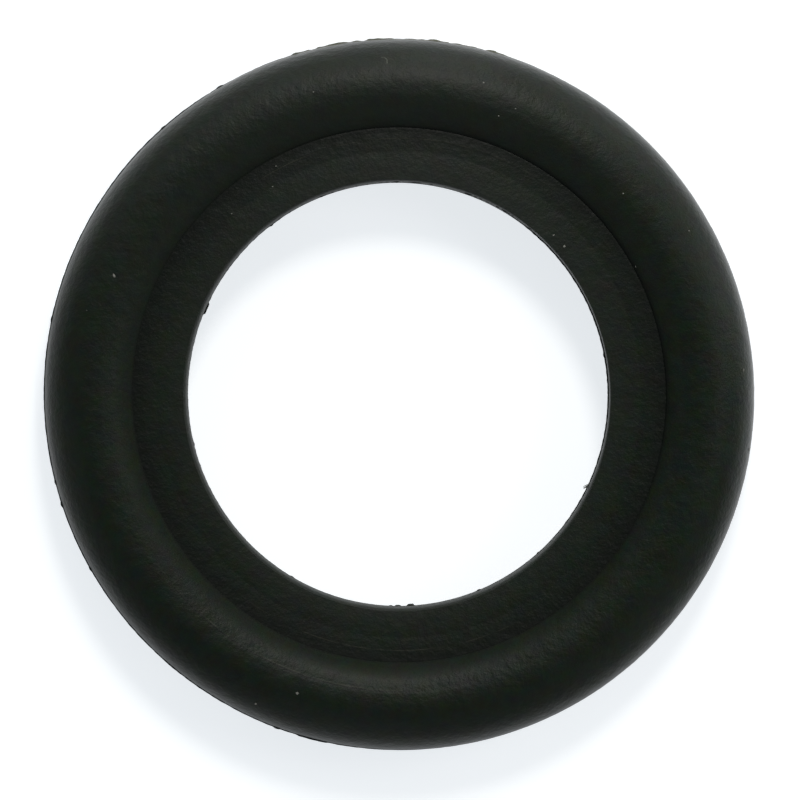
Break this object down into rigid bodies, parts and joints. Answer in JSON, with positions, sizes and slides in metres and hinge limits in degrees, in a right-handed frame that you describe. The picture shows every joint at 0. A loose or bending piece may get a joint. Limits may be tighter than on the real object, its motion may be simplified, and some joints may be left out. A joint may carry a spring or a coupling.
{
  "type": "drain plug washer",
  "caption": "Round rubber washer for a drain plug: a round sealing bead at the outside, a thinner flat web inside it, and a plain bore.",
  "frame": {"origin": "centre of the washer in the plane that its bead rests on", "axes": "+Z along the bore's axis, up from the resting plane; X and Y lie in that plane, and the washer is the same all round and the same on both sides"},
  "size_m": [0.0222, 0.0222, 0.0032],
  "materials": {
    "black_rubber": "matt moulded rubber with a fine grain"
  },
  "bodies": {
    "root": {"drain_plug_washer": "black_rubber"}
  },
  "joints": []
}
